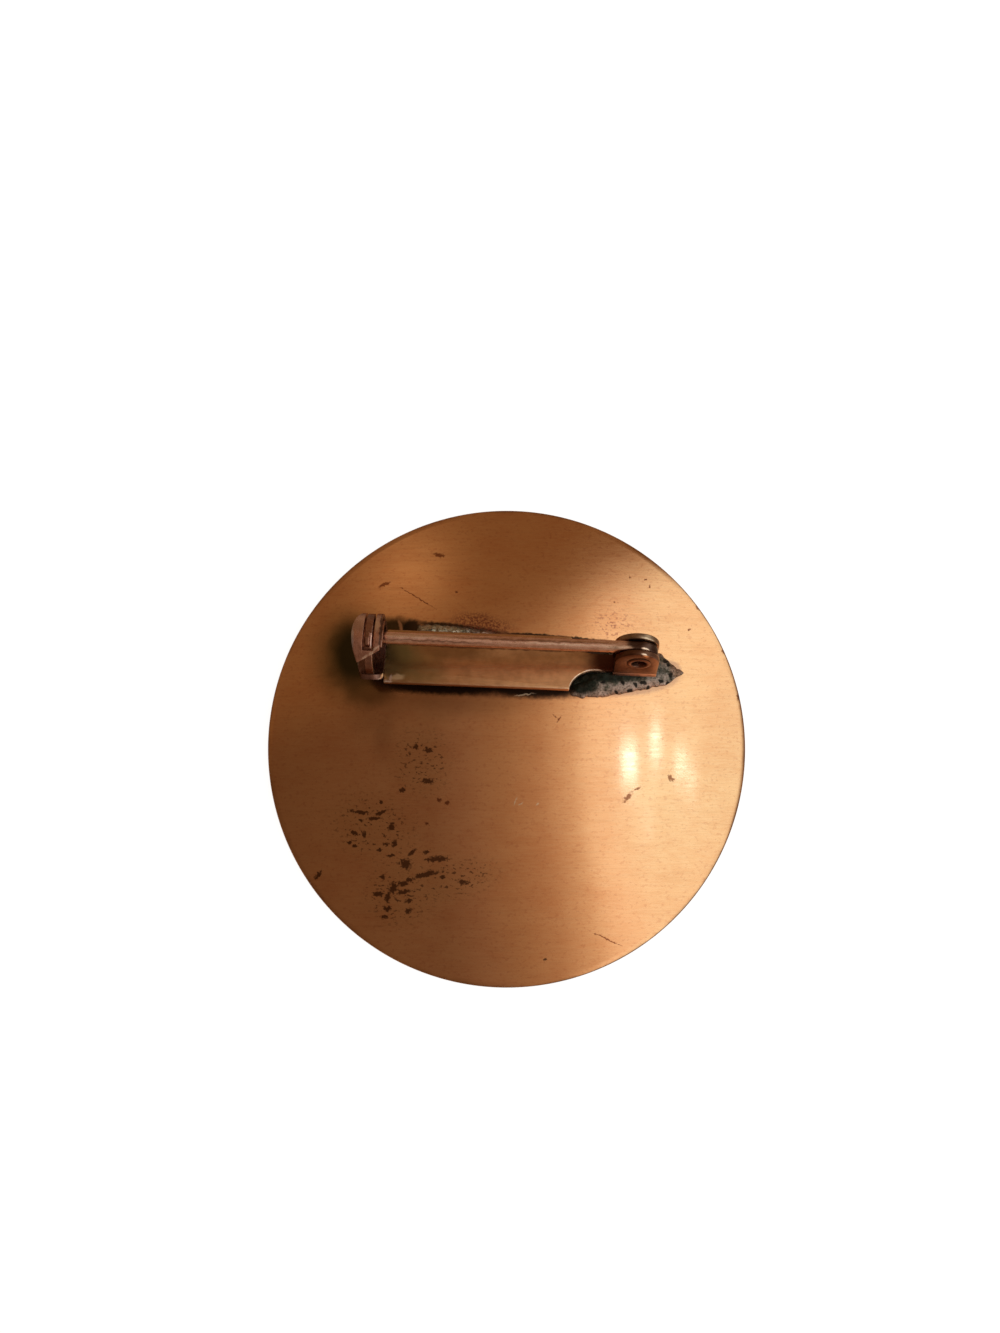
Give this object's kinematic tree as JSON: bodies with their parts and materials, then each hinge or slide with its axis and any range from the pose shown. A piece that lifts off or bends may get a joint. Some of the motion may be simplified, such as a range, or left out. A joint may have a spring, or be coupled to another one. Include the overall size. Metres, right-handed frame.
{
  "type": "round brooch",
  "caption": "Round domed sheet-copper brooch, back up, with a soldered bar pin: riveted hinge, sprung pin wire and a turning safety catch.",
  "frame": {"origin": "centre of the rim's flat underside, where the dished front rests on a surface", "axes": "+Z out of the back, along the disc's own axis; +X towards the hinge; +Y towards the edge that the bar lies near"},
  "size_m": [0.038, 0.038, 0.0095],
  "materials": {
    "brushed_copper": "brushed copper with brown tarnish; the solder on it is dull grey",
    "rivet_copper": "worn copper plate",
    "pink_copper": "satin copper plate"
  },
  "bodies": {
    "base": {"soldered_disc": "brushed_copper", "hinge_rivet": "rivet_copper"},
    "pin": {"pin_stem": "pink_copper"},
    "catch": {"catch_rotor": "pink_copper"}
  },
  "joints": [
    {"name": "pin_swing", "type": "hinge", "parent": "base", "child": "pin", "pos_m": [0.01009, 0.00655, 0.00628], "axis": [0.0427, 0.9623, -0.2687], "range_deg": [0, 110]},
    {"name": "catch_turn", "type": "hinge", "parent": "base", "child": "catch", "pos_m": [-0.01048, 0.00704, 0.00624], "axis": [-0.9991, 0.0412, -0.0115], "range_deg": [0, 88]}
  ]
}
